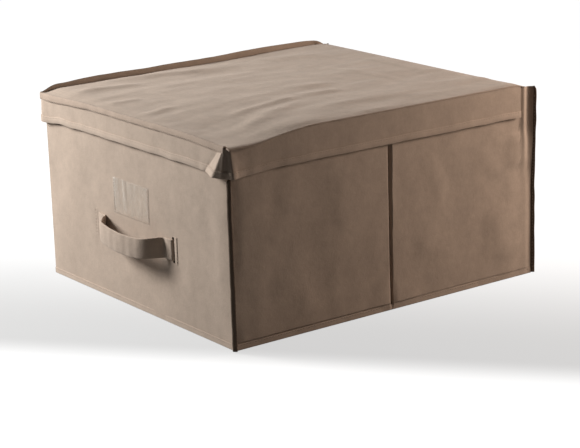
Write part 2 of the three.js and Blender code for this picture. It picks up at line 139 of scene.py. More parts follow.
def fold(u, v, start, end, width, height):
    """A soft ridge along a line from start to end, which fades at both ends"""
    run = np.subtract(end, start)
    length = math.hypot(*run)
    along = ((u - start[0]) * run[0] + (v - start[1]) * run[1]) / length ** 2
    aside = ((u - start[0]) * run[1] - (v - start[1]) * run[0]) / length
    fade = ease(along, 0, FOLD_FADE) * ease(along, 1, 1 - FOLD_FADE)
    return height * fade * hump(aside, width)


def folds(u, v, ridges):
    return sum(fold(u, v, *ridge) for ridge in ridges)


def steps(start, stop, step, extra=()):
    """Even steps from start to stop, with extra values in place of the steps nearest to them"""
    count = max(2, round(abs(stop - start) / step) + 1)
    even = np.linspace(start, stop, count)
    for value in extra:
        even = even[np.abs(even - value) > step * 0.4]
    return np.unique(np.concatenate([even, [start, stop], extra]))


def points(*coordinates):
    """Points from their coordinates, each an array or one number for all"""
    return np.stack(np.broadcast_arrays(*coordinates), axis=-1).astype(float)


def unit(vectors):
    return vectors / np.linalg.norm(vectors, axis=-1, keepdims=True)


def on_wall(side, along, height, out):
    """Points by a wall of the box: along it, up, and outward from the outer face of its cloth"""
    x_sign, y_sign, _ = OUTWARD[side]
    if y_sign:
        return points(along, y_sign * (HALF_DEPTH + out), height)
    return points(x_sign * (HALF_WIDTH + out), along, height)


def beside_wall(side, layer):
    """Extent of a layer of a wall: along the wall, in height, and its depth across the wall"""
    low, high = extent(f"{side}_{layer}")
    along, across = (0, 1) if side in ("front", "back") else (1, 0)
    return (low[along], high[along]), (low[2], high[2]), high[across] - low[across]


def shell(outer, inner, keep=True):
    """A closed sheet between two grids of points, without the cells where keep is False"""
    rows, cols = outer.shape[:2]
    size = rows * cols
    cells = np.zeros((rows + 1, cols + 1), dtype=bool)
    cells[1:-1, 1:-1] = keep
    faces = []
    for i, j in zip(*np.nonzero(cells[1:-1, 1:-1])):
        a = int(i * cols + j)
        corners = [a, a + 1, a + cols + 1, a + cols]
        faces.append(tuple(corners))
        faces.append(tuple(corner + size for corner in reversed(corners)))
        beside = [cells[i, j + 1], cells[i + 1, j + 2], cells[i + 2, j + 1], cells[i + 1, j]]
        for k, kept in enumerate(beside):
            if not kept:
                first, second = corners[k], corners[(k + 1) % 4]
                faces.append((second, first, first + size, second + size))
    return np.concatenate([outer.reshape(-1, 3), inner.reshape(-1, 3)]), faces


def tube(rings):
    """A closed solid through rings of points"""
    count, around = rings.shape[:2]
    faces = []
    for i in range(count - 1):
        for j in range(around):
            a = i * around + j
            b = i * around + (j + 1) % around
            faces.append((a, b, b + around, a + around))
    faces.append(tuple(range(around - 1, -1, -1)))
    faces.append(tuple(range((count - 1) * around, count * around)))
    return rings.reshape(-1, 3), faces


def strip_section(width, thickness, across, round_steps=3):
    """Section of a flat strip with rounded edges, as pairs (across, through)"""
    radius = thickness / 2
    flat = np.linspace(-width / 2 + radius, width / 2 - radius, across)
    turn = np.linspace(-math.pi / 2, math.pi / 2, round_steps + 2)[1:-1]
    edge = points(width / 2 - radius + radius * np.cos(turn), radius * np.sin(turn))
    low = points(flat, -radius)
    return np.concatenate([low, edge, -low, -edge])


def sweep(path, across, through, section):
    """A closed solid: a section carried along a path"""
    section = np.broadcast_to(section, (len(path),) + section.shape[-2:])
    across = np.broadcast_to(across, path.shape)
    through = np.broadcast_to(through, path.shape)
    return tube(path[:, None] + section[..., :1] * across[:, None] + section[..., 1:] * through[:, None])


def smooth_line(corners, samples):
    """A smooth curve through points, with the same number of samples between each two"""
    corners = np.asarray(corners, dtype=float)
    before = 2 * corners[0] - corners[1]
    after = 2 * corners[-1] - corners[-2]
    knots = np.concatenate([[before], corners, [after]])
    gaps = np.sqrt(np.linalg.norm(np.diff(knots, axis=0), axis=-1)) + 1e-6
    t = np.linspace(0, 1, samples, endpoint=False)[:, None]
    rise = ease(t, 0, 1)
    result = []
    for i in range(1, len(knots) - 2):
        p0, p1, p2, p3 = knots[i - 1:i + 3]
        g0, g1, g2 = gaps[i - 1:i + 2]
        start = ((p1 - p0) / g0 - (p2 - p0) / (g0 + g1) + (p2 - p1) / g1) * g1
        end = ((p2 - p1) / g1 - (p3 - p1) / (g1 + g2) + (p3 - p2) / g2) * g1
        result.append((1 - rise) * p1 + rise * p2 + t * (1 - t) ** 2 * start - t ** 2 * (1 - t) * end)
    result.append(corners[-1:])
    return np.concatenate(result)


def distances(line):
    """Distance of each point of a line from its start, along the line"""
    return np.concatenate([[0], np.cumsum(np.linalg.norm(np.diff(line, axis=0), axis=-1))])


def between(places, along, values):
    """Values at places, from those known along a line"""
    return points(*(np.interp(places, along, column) for column in values.T))


def plan_normals(line):
    """Normals of a line of pairs, to its right"""
    along = unit(np.gradient(line, axis=0))
    return points(along[:, 1], -along[:, 0])


def even_line(line, step):
    """The same line with points at even distances"""
    along = distances(line)
    places = np.linspace(0, along[-1], max(2, round(along[-1] / step) + 1))
    return between(places, along, line)


def add_object(name, data):
    item = bpy.data.objects.new(name, data)
    bpy.context.scene.collection.objects.link(item)
    return item


def make(name, vertices, faces, look, body, replaced=()):
    """A piece of the box from its vertices in millimetres"""
    mesh = bpy.data.meshes.new(name)
    mesh.from_pydata((np.asarray(vertices, dtype=float) * MM).tolist(), [], faces)
    work = bmesh.new()
    work.from_mesh(mesh)
    loose = [vertex for vertex in work.verts if not vertex.link_faces]
    bmesh.ops.delete(work, geom=loose, context="VERTS")
    bmesh.ops.recalc_face_normals(work, faces=work.faces)
    work.to_mesh(mesh)
    work.free()
    mesh.shade_smooth()
    mesh.set_sharp_from_angle(angle=SHARP_ANGLE)
    mesh.materials.append(FINISHES[look])
    piece = add_object(name, mesh)
    if body:
        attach(piece, body)
    if replaced:
        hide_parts(*replaced)
    return piece


def join(parts):
    """Several sets of vertices and faces as one"""
    vertices, faces, offset = [], [], 0
    for part_vertices, part_faces in parts:
        vertices.append(part_vertices)
        faces.extend(tuple(index + offset for index in face) for face in part_faces)
        offset += len(part_vertices)
    return np.concatenate(vertices), faces


# Stitches: places along a stitch as shares of its length, with the thread's rise and radius there
STITCH_PITCH = 4.4
STITCH_LENGTH = 3.0
STITCH_STATIONS = np.array([0, 0.14, 0.5, 0.86, 1])
STITCH_RISE = np.array([-0.25, 0.1, 0.2, 0.1, -0.25])
STITCH_RADIUS = np.array([0.12, 0.24, 0.27, 0.24, 0.12])
STITCH_AROUND = 6


def stitches(name, line, out, body, pitch=STITCH_PITCH):
    """Stitches along a line of points on the cloth; out points away from the cloth at each point"""
    line = np.asarray(line, dtype=float)
    out = np.broadcast_to(out, line.shape)
    along = distances(line)
    turn = np.linspace(0, 2 * math.pi, STITCH_AROUND, endpoint=False)
    section = points(np.cos(turn), np.sin(turn)) * STITCH_RADIUS[:, None, None]
    parts = []
    for start in np.arange(STITCH_PITCH / 2, along[-1] - STITCH_LENGTH, pitch):
        places = start + STITCH_STATIONS * STITCH_LENGTH
        centre = between(places, along, line)
        normal = unit(between(places, along, out))
        side = unit(np.cross(unit(np.gradient(centre, axis=0)), normal))
        parts.append(sweep(centre + normal * STITCH_RISE[:, None], side, normal, section))
    return make(name, *join(parts), "thread", body)


# Materials. Each cloth: name, colour, depth of its pressed dimples, how uneven its dye is, sheen
CLOTHS = {
    "cloth": ("taupe_cloth", (0.46, 0.36, 0.287), 0.12, 0.11, 0.12),
    # corner_seam: far darker than the seam cloth, as painted shade for the deep shadow in the corners of the
    # box
    "corner_seam": ("corner_seam_cloth", (0.14, 0.095, 0.065), 0.12, 0.11, 0.12),
    "seam_cloth": ("seam_cloth", (0.40, 0.305, 0.24), 0.1, 0.11, 0.12),
    "tape_cloth": ("tape_cloth", (0.49, 0.385, 0.308), 0.1, 0.11, 0.12),
    "lining": ("lining_cloth", (0.54, 0.45, 0.37), 0.08, 0.07, 0.12),
    "strap_cloth": ("strap_cloth", (0.44, 0.342, 0.272), 0.14, 0.11, 0.16),
}
THREAD_COLOUR = (0.40, 0.31, 0.245)
CARD_COLOUR = (0.48, 0.39, 0.25)
FILM_COLOUR = (0.80, 0.74, 0.66)
DIMPLE_PITCH = 1.5
FIBRE_SCALE = 2400
PATCH_SCALE = 38
SPECK_SCALE = 85
FLECK_SCALE = 900
PLY_SCALE = 900
FUZZ_DEPTH = 0.06
CRUMPLE_DEPTH = 0.42
FLECK_DEPTH = 0.1
# Upright bands of the film's opacity: partly hazy film, partly painted glare
FILM_BANDS = (60, 60, 9)
FILM_HAZE_AND_GLARE = (0.08, 0.3)


def fill(tree, node, inputs):
    """Set a node's inputs: to a value, or linked to another node's output"""
    for name, value in inputs.items():
        if isinstance(value, bpy.types.NodeSocket):
            tree.links.new(value, node.inputs[name])
        else:
            node.inputs[name].default_value = value


def output(tree, name, kind, inputs={}, **settings):
    """The output of that name of a new node"""
    node = tree.nodes.new("ShaderNode" + kind)
    for setting, value in settings.items():
        setattr(node, setting, value)
    fill(tree, node, inputs)
    return node.outputs[name]


def object_place(tree):
    return output(tree, "Object", "TexCoord")


def noise(tree, place, scale, detail, roughness=0.5):
    inputs = {"Vector": place, "Scale": scale, "Detail": detail, "Roughness": roughness}
    return output(tree, "Fac", "TexNoise", inputs)


def maths(tree, operation, *values):
    return output(tree, "Value", "Math", dict(enumerate(values)), operation=operation)


def carried(tree, value, source, target, **settings):
    """A value carried from one range to another"""
    ends = zip(("From Min", "From Max", "To Min", "To Max"), (*source, *target))
    return output(tree, "Result", "MapRange", {"Value": value, **dict(ends)}, **settings)


def toned(tree, value, places, colour, factors):
    """Two tones of a colour, blended between two places of a value"""
    tone = output(tree, "Color", "ValToRGB", {"Fac": value})
    for element, place, factor in zip(tone.node.color_ramp.elements, places, factors):
        element.position = place
        element.color = tinted(colour, factor)
    return tone


def bump(tree, height, depth, strength=1, **normal):
    inputs = {"Height": height, "Distance": depth * MM, "Strength": strength, **normal}
    return output(tree, "Normal", "Bump", inputs)


def finish(name, build, *settings):
    """A material with a surface that a function builds in its tree of nodes"""
    material = bpy.data.materials.new(name)
    material.use_nodes = True
    build(material.node_tree, material.node_tree.nodes["Principled BSDF"], *settings)
    return material


def tinted(colour, factor):
    return tuple(min(channel * factor, 1) for channel in colour) + (1,)


def cloth(tree, surface, colour, dimple_depth, mottle, sheen):
    """Non-woven cloth: small pressed dimples in rows, fine fibres and slight unevenness of the dye"""
    place = object_place(tree)
    pattern = {"Vector": place, "Scale": 1 / (DIMPLE_PITCH * MM), "Randomness": 0.3}
    dimples = output(tree, "Distance", "TexVoronoi", pattern)
    fibres = noise(tree, place, FIBRE_SCALE, 3)
    patches = noise(tree, place, PATCH_SCALE, 5, 0.6)
    specks = noise(tree, place, SPECK_SCALE, 4, 0.7)
    uneven = output(tree, "Result", "Mix", {"A": patches, "B": specks})
    dye = toned(tree, uneven, (0.3, 0.7), colour, (1 - mottle, 1 + mottle))
    pressed = carried(tree, dimples, (0.1, 0.55), (0.9, 1.03))
    shade = {"Factor": 1, "A": dye, "B": pressed}
    shade = output(tree, "Result", "Mix", shade, data_type="RGBA", blend_type="MULTIPLY")
    crumple = bump(tree, specks, CRUMPLE_DEPTH)
    fuzz = bump(tree, fibres, FUZZ_DEPTH, 0.35, Normal=crumple)
    relief = bump(tree, dimples, dimple_depth, 0.6, Normal=fuzz)
    fill(tree, surface, {
        "Base Color": shade, "Normal": relief, "Roughness": 0.86, "Specular IOR Level": 0.25,
        "Sheen Weight": sheen, "Sheen Roughness": 0.6,
    })


def card(tree, surface, colour):
    """Grey-brown board: fine flecks and a slightly rough face"""
    flecks = noise(tree, object_place(tree), FLECK_SCALE, 6)
    tone = toned(tree, flecks, (0.32, 0.68), colour, (0.8, 1.1))
    relief = bump(tree, flecks, FLECK_DEPTH, 0.3)
    fill(tree, surface, {"Base Color": tone, "Normal": relief, "Roughness": 0.92})


def thread(tree, surface, colour):
    """Twisted sewing thread: a fine spiral of two plies"""
    spiral = {"Vector": object_place(tree), "Scale": PLY_SCALE}
    plies = output(tree, "Fac", "TexWave", spiral, bands_direction="DIAGONAL")
    tone = toned(tree, plies, (0, 1), colour, (0.75, 1.15))
    fill(tree, surface, {"Base Color": tone, "Roughness": 0.7})


def film(tree, surface, colour):
    """Clear soft film, whitish in upright bands that are partly hazy film and partly painted glare"""
    stretch = output(tree, "Vector", "Mapping", {"Vector": object_place(tree), "Scale": FILM_BANDS})
    # Opacity from upright noise bands: partly hazy film, partly painted glare
    haze_and_glare = carried(tree, noise(tree, stretch, 1, 4), (0.35, 0.7), FILM_HAZE_AND_GLARE)
    fill(tree, surface, {"Base Color": tinted(colour, 1), "Alpha": haze_and_glare, "Roughness": 0.2, "IOR": 1.5})


FINISHES = {
    **{key: finish(name, cloth, *settings) for key, (name, *settings) in CLOTHS.items()},
    "thread": finish("sewing_thread", thread, THREAD_COLOUR),
    "card": finish("grey_board", card, CARD_COLOUR),
    "film": finish("clear_film", film, FILM_COLOUR),
}


# Camera, solved from the photograph; its place is to its own right, upward and backward from the origin
CAMERA_AZIMUTH = 0.9444
CAMERA_ELEVATION = 0.2721
CAMERA_ROLL = -0.0306
CAMERA_PLACE = (-0.3759, 68.0023, 2676.862)
CAMERA_LENS = 117.82
CAMERA_SENSOR = 36
CAMERA_REACH = 100

# Lamps: name, direction from the box, distance and size in metres, power, colour
LAMPS = [
    ("key_lamp", (-0.69, -0.58, 0.41), 1.6, 0.5, 37.5, (1, 0.99, 0.965)),
    ("fill_lamp", (0.56, 0.8, 0.34), 1.0, 0.3, 6.6, (0.99, 0.82, 0.7)),
]
LAMP_AIM = Vector((0, 0, 0.13))
SOFT_COLOUR = (1, 0.97, 0.94, 1)
SOFT_STRENGTH = 0.004

# Floor: each fade is where it is white and where it is grey with painted shadow
FLOOR_DROP = 0.4
FLOOR_HALF = 6000
FLOOR_AZIMUTH = CAMERA_AZIMUTH - 0.23
FLOOR_SEEN = 0.13
FLOOR_BOUNCE = 0.24
FLOOR_PAINTED_SHADOW_GLOW = 0.62
FLOOR_FAR_FADE = (-260, 270)
FLOOR_NEAR_FADE = (410, 318)
FLOOR_SIDE_FADE = (850, 480)


def place_camera():
    """The photograph's viewing angle, solved from the corners of the lid, skirt and underside"""
    data = bpy.data.cameras.new("camera")
    data.lens = CAMERA_LENS
    data.sensor_width = CAMERA_SENSOR
    data.clip_end = CAMERA_REACH
    camera = add_object("camera", data)
    tilt = Matrix.Rotation(math.pi / 2 - CAMERA_ELEVATION, 4, "X") @ Matrix.Rotation(CAMERA_ROLL, 4, "Z")
    place = Matrix.Translation(Vector(CAMERA_PLACE) * MM)
    camera.matrix_world = Matrix.Rotation(CAMERA_AZIMUTH, 4, "Z") @ tilt @ place
    bpy.context.scene.camera = camera


def direct_rays(tree):
    """1 for camera, glossy and transmission rays"""
    camera, glossy, clear = (
        output(tree, f"Is {kind} Ray", "LightPath") for kind in ("Camera", "Glossy", "Transmission")
    )
    return maths(tree, "MAXIMUM", maths(tree, "MAXIMUM", camera, glossy), clear)


def light_scene():
    """The lamps, and a world that is seen white but hardly lights the box"""
    for name, direction, distance, size, energy, colour in LAMPS:
        data = bpy.data.lights.new(name, "AREA")
        data.shape, data.size, data.energy, data.color = "SQUARE", size, energy, colour
        lamp = add_object(name, data)
        toward = Vector(direction).normalized()
        lamp.location = toward * distance + LAMP_AIM
        lamp.rotation_euler = toward.to_track_quat("Z", "Y").to_euler()
    world = bpy.data.worlds.new("studio")
    world.use_nodes = True
    bpy.context.scene.world = world
    tree = world.node_tree
    seen = output(tree, "Background", "Background", {"Color": (1, 1, 1, 1)})
    soft = output(tree, "Background", "Background", {"Color": SOFT_COLOUR, "Strength": SOFT_STRENGTH})
    mix = output(tree, "Shader", "MixShader", {0: direct_rays(tree), 1: soft, 2: seen})
    fill(tree, tree.nodes["World Output"], {"Surface": mix})


def floor_glow_with_painted_shadow(tree):
    """How bright the floor is seen: a grey band of painted shadow under the box, white behind, before and
    beside it
    """
    place = object_place(tree)
    toward = (math.sin(FLOOR_AZIMUTH), -math.cos(FLOOR_AZIMUTH), 0)
    aside = (math.cos(FLOOR_AZIMUTH), math.sin(FLOOR_AZIMUTH), 0)
    glow = 0
    for direction, fade in ((toward, FLOOR_FAR_FADE), (toward, FLOOR_NEAR_FADE), (aside, FLOOR_SIDE_FADE)):
        along = output(tree, "Value", "VectorMath", {0: place, 1: direction}, operation="DOT_PRODUCT")
        if direction is aside:
            along = maths(tree, "ABSOLUTE", along)
        places = [length * MM for length in fade]
        # Painted shadow: the floor's glow falls to grey near the box
        grey = carried(tree, along, places, (1, FLOOR_PAINTED_SHADOW_GLOW), interpolation_type="SMOOTHSTEP")
        glow = maths(tree, "MAXIMUM", grey, glow)
    return glow


def pale_floor(tree, surface):
    tone = carried(tree, direct_rays(tree), (0, 1), (FLOOR_BOUNCE, FLOOR_SEEN))
    fill(tree, surface, {"Base Color": tone, "Roughness": 0.9, "Specular IOR Level": 0})
    strength = maths(tree, "MULTIPLY", direct_rays(tree), floor_glow_with_painted_shadow(tree))
    lift = output(tree, "Emission", "Emission", {"Strength": strength})
    both = output(tree, "Shader", "AddShader", {0: surface.outputs["BSDF"], 1: lift})
    fill(tree, tree.nodes["Material Output"], {"Surface": both})


def lay_floor():
    """A plain pale floor that keeps the shadow of the box"""
    half, height = FLOOR_HALF * MM, -FLOOR_DROP * MM
    corners = [(x * half, y * half, height) for x, y in ((-1, -1), (1, -1), (1, 1), (-1, 1))]
    mesh = bpy.data.meshes.new("floor")
    mesh.from_pydata(corners, [], [(0, 1, 2, 3)])
    mesh.materials.append(finish("pale_floor", pale_floor))
    add_object("floor", mesh)


# Walls of the box: relief is how far the cloth lies outward of its flat place
CORNER_FADE = 14
SKIRT_COVER = (221, 229)
SKIRT_PRESS = 0.85
SLOT_COVER = 13
FOOT_ROWS = [7.6, 8.6, 9.4, 10.2, 11, 12]
FOOT_BULGE = 1.7
FOOT_BULGE_BEHIND = 0.8
WALL_ROWS = 56
CREASE_DEPTH = 3.3
CREASE_FRONT_RUN = 3.6
CREASE_REAR_RUNS = (1.6, 4.6)
CREASE_FOOT = (3, 12)
CREASE_ROWS = [-5.5, -4.2, -3.2, -2.2, -1.2, -0.4, 0.4, 1.2, 2, 2.8, 3.6, 4.4, 5.4, 7, 9, 12]
REAR_OPEN = (120, 230)
REAR_BULGE, REAR_BULGE_PLACE, REAR_BULGE_WIDTH = 2.4, 234.5, 4.5
REAR_CURL = (0.6, 4.4)
REAR_CURL_FROM, REAR_CURL_RUN = 242, 7.1
LINING_DENT = 1.7

# Soft folds, each from a point (along the wall, height) to another, with its half width and height
FRONT_FOLDS = [
    ((-205, 30), (-150, 200), 26, 0.9),
    ((60, 30), (150, 75), 20, 0.8),
    ((-60, 20), (20, 78), 18, 0.7),
    ((195, 40), (205, 215), 16, 0.9),
]
SIDE_FOLDS = [
    ((222, 210), (224, 150), 20, 2.6),
    ((182, 118), (194, 20), 30, 2.6),
    ((150, 200), (196, 140), 12, 0.9),
    ((60, 205), (92, 128), 15, 0.9),
    ((40, 90), (120, 40), 18, 0.8),
    ((-60, 205), (-90, 120), 20, 0.9),
    ((-190, 90), (-120, 30), 22, 0.9),
    ((-150, 195), (-200, 120), 16, 0.8),
]


def corner_fade(along, half):
    """0 at the corners of a wall, 1 away from them"""
    return ease(half - np.abs(along), 0, CORNER_FADE)


def hidden(z):
    """How much of the relief is taken away where the lid's skirt covers a wall"""
    return SKIRT_PRESS * ease(z, *SKIRT_COVER)


def front_relief(x, z):
    out = waves(x, z, 11, (0.5, (120, 90)), (0.22, (34, 40))) + folds(x, z, FRONT_FOLDS)
    near_slot = hump(np.abs(x) - SLOT_X, 16) * hump(z - STRAP_MIDDLE, 34)
    return np.maximum(out + 0.5, -0.1) * (1 - 0.6 * near_slot)


def side_relief(y, z, seed):
    """Soft upright ripples, and the crease across the middle where the wall folds inward"""
    share = z / WALL_TOP
    out = 0.9 + waves(y, z, seed, (0.9, (95, 210)), (0.35, (42, 120)), (0.18, (20, 60)))
    narrow, wide = CREASE_REAR_RUNS
    rear_run = narrow + (wide - narrow) * share
    closed = ease(z, *CREASE_FOOT)
    front_dip = ease(y, -CREASE_FRONT_RUN, 0)
    rear_dip = 1 - np.clip(y / rear_run, 0, 1) ** 1.2
    dip = np.where(y < 0, front_dip, rear_dip) * closed
    lift = np.where(y < 0, 0.7 * np.exp(y / 12), (0.5 + 1.3 * share) * np.exp(-np.abs(y) / 13))
    depth = CREASE_DEPTH * (0.75 + 0.25 * share)
    return np.maximum(out + lift * closed, -0.1) * (1 - dip) - depth * dip


def foot_bulge(y, z):
    """The cloth bulges out just above the tape at its foot, most in the front half"""
    height = FOOT_BULGE + (FOOT_BULGE_BEHIND - FOOT_BULGE) * ease(y, 0, 60)
    return height * ease(z, 8.4, 10.8) * ease(z, 62, 12) * (1 - hump(y, 6))


def rear_corner_curl(z):
    """How far the rear corner curls outward: little near the foot, fully at the top"""
    foot, rise = REAR_CURL
    return foot + rise * ease(z, *REAR_OPEN)


def rear_corner_relief(y, z):
    """The wall bulges and then curls outward to the standing seam of the rear corner, most of all at the top"""
    bulge = REAR_BULGE * ease(z, *REAR_OPEN) * hump(y - REAR_BULGE_PLACE, REAR_BULGE_WIDTH)
    return bulge + rear_corner_curl(z) * np.clip((y - REAR_CURL_FROM) / REAR_CURL_RUN, 0, 1) ** 1.4


def wall_panel(side, along, z, out, thickness, keep=True):
    return shell(on_wall(side, along, z, out), on_wall(side, along, z, out - thickness), keep)


def wall_cloth(side, along, z, out, keep=True):
    panel = wall_panel(side, along, z, out, CLOTH, keep)
    return make(f"{side}_wall_cloth", *panel, "cloth", "box", [f"{side}_cloth"])


def side_wall(side, seed):
    """A side wall rises to its rim, and behind the skirt to the tab beside the rear of the lid"""
    edge = HALF_DEPTH - PANEL_EDGE
    y = np.concatenate([
        steps(-edge, -15, PANEL_STEP),
        CREASE_ROWS,
        steps(16, TAB_FRONT - 6, PANEL_STEP),
        steps(TAB_FRONT - 4, edge, 1.2, [TAB_FRONT, TAB_FRONT + 0.4]),
    ])
    foot_rows = (np.array(FOOT_ROWS) - SIDE_LOW[2]) / (WALL_TOP - SIDE_LOW[2])
    y, rows = np.meshgrid(y, np.unique(np.concatenate([np.linspace(0, 1, WALL_ROWS), foot_rows])))
    reach = np.where(y > TAB_FRONT + 0.2, SIDE_HIGH[2], WALL_TOP)
    z = SIDE_LOW[2] + (reach - SIDE_LOW[2]) * rows
    out = (side_relief(y, z, seed) + foot_bulge(y, z)) * corner_fade(y, HALF_DEPTH)
    out = out * (1 - hidden(z) * (y < TAB_FRONT - 2))
    out = out + rear_corner_relief(y, z) + folds(y, z, SIDE_FOLDS)
    piece = wall_cloth(side, y, z, out)


def front_wall():
    """The front wall has two slots for the strap; the left one is only as high as the strap that covers it"""
    low, high = extent("right_slot_lip")
    # Each slot: its left and right edge, foot and head
    slots = [
        (-SLOT_X - 0.6, -SLOT_X + 1.4, STRAP_MIDDLE - SLOT_COVER, STRAP_MIDDLE + SLOT_COVER),
        (SLOT_X - 1.4, SLOT_X + 3.4, low[2] + 1.2, high[2] - 1.2),
    ]
    slot_x, slot_z = np.hsplit(np.array(slots), 2)
    x = steps(-HALF_WIDTH + PANEL_EDGE, HALF_WIDTH - PANEL_EDGE, PANEL_STEP, slot_x.ravel())
    z = steps(FRONT_LOW[2], FRONT_HIGH[2], PANEL_STEP, slot_z.ravel())
    middle_x, middle_z = np.meshgrid((x[1:] + x[:-1]) / 2, (z[1:] + z[:-1]) / 2)
    keep = True
    for left, right, foot, head in slots:
        keep = keep & ~((middle_x > left) & (middle_x < right) & (middle_z > foot) & (middle_z < head))
    x, z = np.meshgrid(x, z)
    out = front_relief(x, z) * corner_fade(x, HALF_WIDTH) * (1 - hidden(z))
    piece = wall_cloth("front", x, z, out, keep)


def back_wall():
    low, high = extent("back_cloth")
    x, z = np.meshgrid(
        steps(-HALF_WIDTH + PANEL_EDGE, HALF_WIDTH - PANEL_EDGE, PANEL_STEP),
        steps(low[2], high[2], PANEL_STEP),
    )
    out = np.maximum(0.7 + waves(x, z, 31, (0.8, (110, 170)), (0.3, (45, 60))), -0.1)
    piece = wall_cloth("back", x, z, out * corner_fade(x, HALF_WIDTH) * ease(z, 234, 225))


def wall_lining(side, seed):
    """The lining, dented where the crease of a side wall stands out inside"""
    run, (foot, head), _ = beside_wall(side, "lining")
    along, z = np.meshgrid(steps(*run, LINING_STEP), steps(foot, head, LINING_STEP))
    into = np.clip(0.35 + waves(along, z, seed, (0.35, (90, 120)), (0.15, (30, 40))), 0, 0.9)
    if side in ("left", "right"):
        into = into + LINING_DENT * hump(along, 10)
    into = into * ease(z, 240, 226) * ease(z, 6, 20)
    panel = wall_panel(side, along, z, -LINING_DEPTH - into, -LINING)
    piece = make(f"{side}_wall_lining", *panel, "lining", "box", [f"{side}_lining"])


def base_sheet():
    x, y = np.meshgrid(steps(-HALF_WIDTH, HALF_WIDTH, LINING_STEP), steps(-HALF_DEPTH, HALF_DEPTH, LINING_STEP))
    near = np.minimum(HALF_WIDTH - np.abs(x), HALF_DEPTH - np.abs(y))
    lift = np.clip(0.1 + waves(x, y, 41, (0.12, (60, 60))), 0, 0.25) * ease(near, 0, 20)
    panel = shell(points(x, y, lift), points(x, y, lift + CLOTH))
    piece = make("base_under_cloth", *panel, "cloth", "box", ["base_cloth"])


# Seams and tapes
TAPE_END = 1.2
TAPE_MIDDLE = 0.45
TAPE_FACE = 0.8
TAPE_STITCH_INSET = 1.6
RIM_OUT = 0.9
RIM_STITCH_INSET = 2
STITCH_GAP = 0.05
SEAM_SPREAD = 0.35
SEAM_FACE = 0.88
SEAM_TUCK = 6
SEAM_UNDER_SKIRT = 1.0
SEAM_PRESSED = 0.4
SEAM_CURL_SHARE = 0.75
SEAM_STITCH_END = 4
HINGE_CLOTH = 0.5

# Outline of a standing corner seam, as (share of its reach, share of its half thickness)
CORNER_OUTLINE = np.array([
    (-1.2, -0.7), (0.1, -0.8), (0.45, -0.85), (0.75, -1), (0.93, -0.75), (1, 0),
    (0.93, 0.75), (0.75, 1), (0.45, 0.85), (0.1, 0.8), (-1.2, 0.7),
])

# Place, sign of x and of y, direction in plan, how far it starts outward and back from the corner, reach at the
# foot and at the top, half thickness, seed. The first one lies folded on the side wall.
CORNER_SEAMS = [
    ("front_left", (-1, -1), (-0.16, 1), (0.4, 2.2), (5.0, 6.5), 0.6, 141),
    ("front_right", (1, -1), (1, -1), (0, 0), (5.0, 7.4), 3.1, 142),
    ("rear_right", (1, 1), (1, 1), (0, 0), (5.2, 3.9), 1.0, 143),
    ("rear_left", (-1, 1), (-1, 1), (0, 0), (5.2, 3.9), 1.0, 144),
]


def bottom_tape(side, seed):
    _, (foot, head), _ = beside_wall(side, "bottom_tape")
    half = (HALF_WIDTH if side in ("front", "back") else HALF_DEPTH) - TAPE_END
    along = steps(-half, half, SEAM_STEP)
    bow = (0.3 + edge_waves(along, seed, (0.25, 40))) * 0.5
    section = strip_section(head - foot, TAPE, 6)
    tape = sweep(on_wall(side, along, (foot + head) / 2, TAPE_MIDDLE + bow), UP, OUTWARD[side], section)
    make(f"{side}_foot_tape", *tape, "tape_cloth", "box", [f"{side}_bottom_tape"])
    line = on_wall(side, along, head - TAPE_STITCH_INSET, TAPE_FACE + bow)
    stitches(f"{side}_foot_stitches", line, OUTWARD[side], "box")


def folded_section(depth, reach, sign):
    """U-shaped section of a tape folded over an edge, as pairs (outward, up) from its corner at the edge"""
    outer = [(-0.2, 0), (0, 0.35), (0.1, 0.5 * reach), (0.05, reach - 0.25), (-0.12, reach)]
    half = [(x, sign * y) for x, y in [*outer, (-TAPE, reach - 0.1), (-TAPE, TAPE)]]
    return np.array(half + [(-depth - x, y) for x, y in reversed(half)])


def rim_tape(side):
    run, (foot, head), depth = beside_wall(side, "rim_tape")
    along = steps(*run, SEAM_STEP * 2)
    section = folded_section(depth, head - foot, -1)
    tape = sweep(on_wall(side, along, head, RIM_OUT), OUTWARD[side], UP, section)
    make(f"{side}_rim_binding", *tape, "tape_cloth", "box", [f"{side}_rim_tape"])
    for name, out, sign in (("rim", RIM_OUT + STITCH_GAP, 1), ("rim_inner", RIM_OUT - depth - STITCH_GAP, -1)):
        line = on_wall(side, along, foot + RIM_STITCH_INSET, out)
        stitches(f"{side}_{name}_stitches", line, sign * OUTWARD[side], "box")


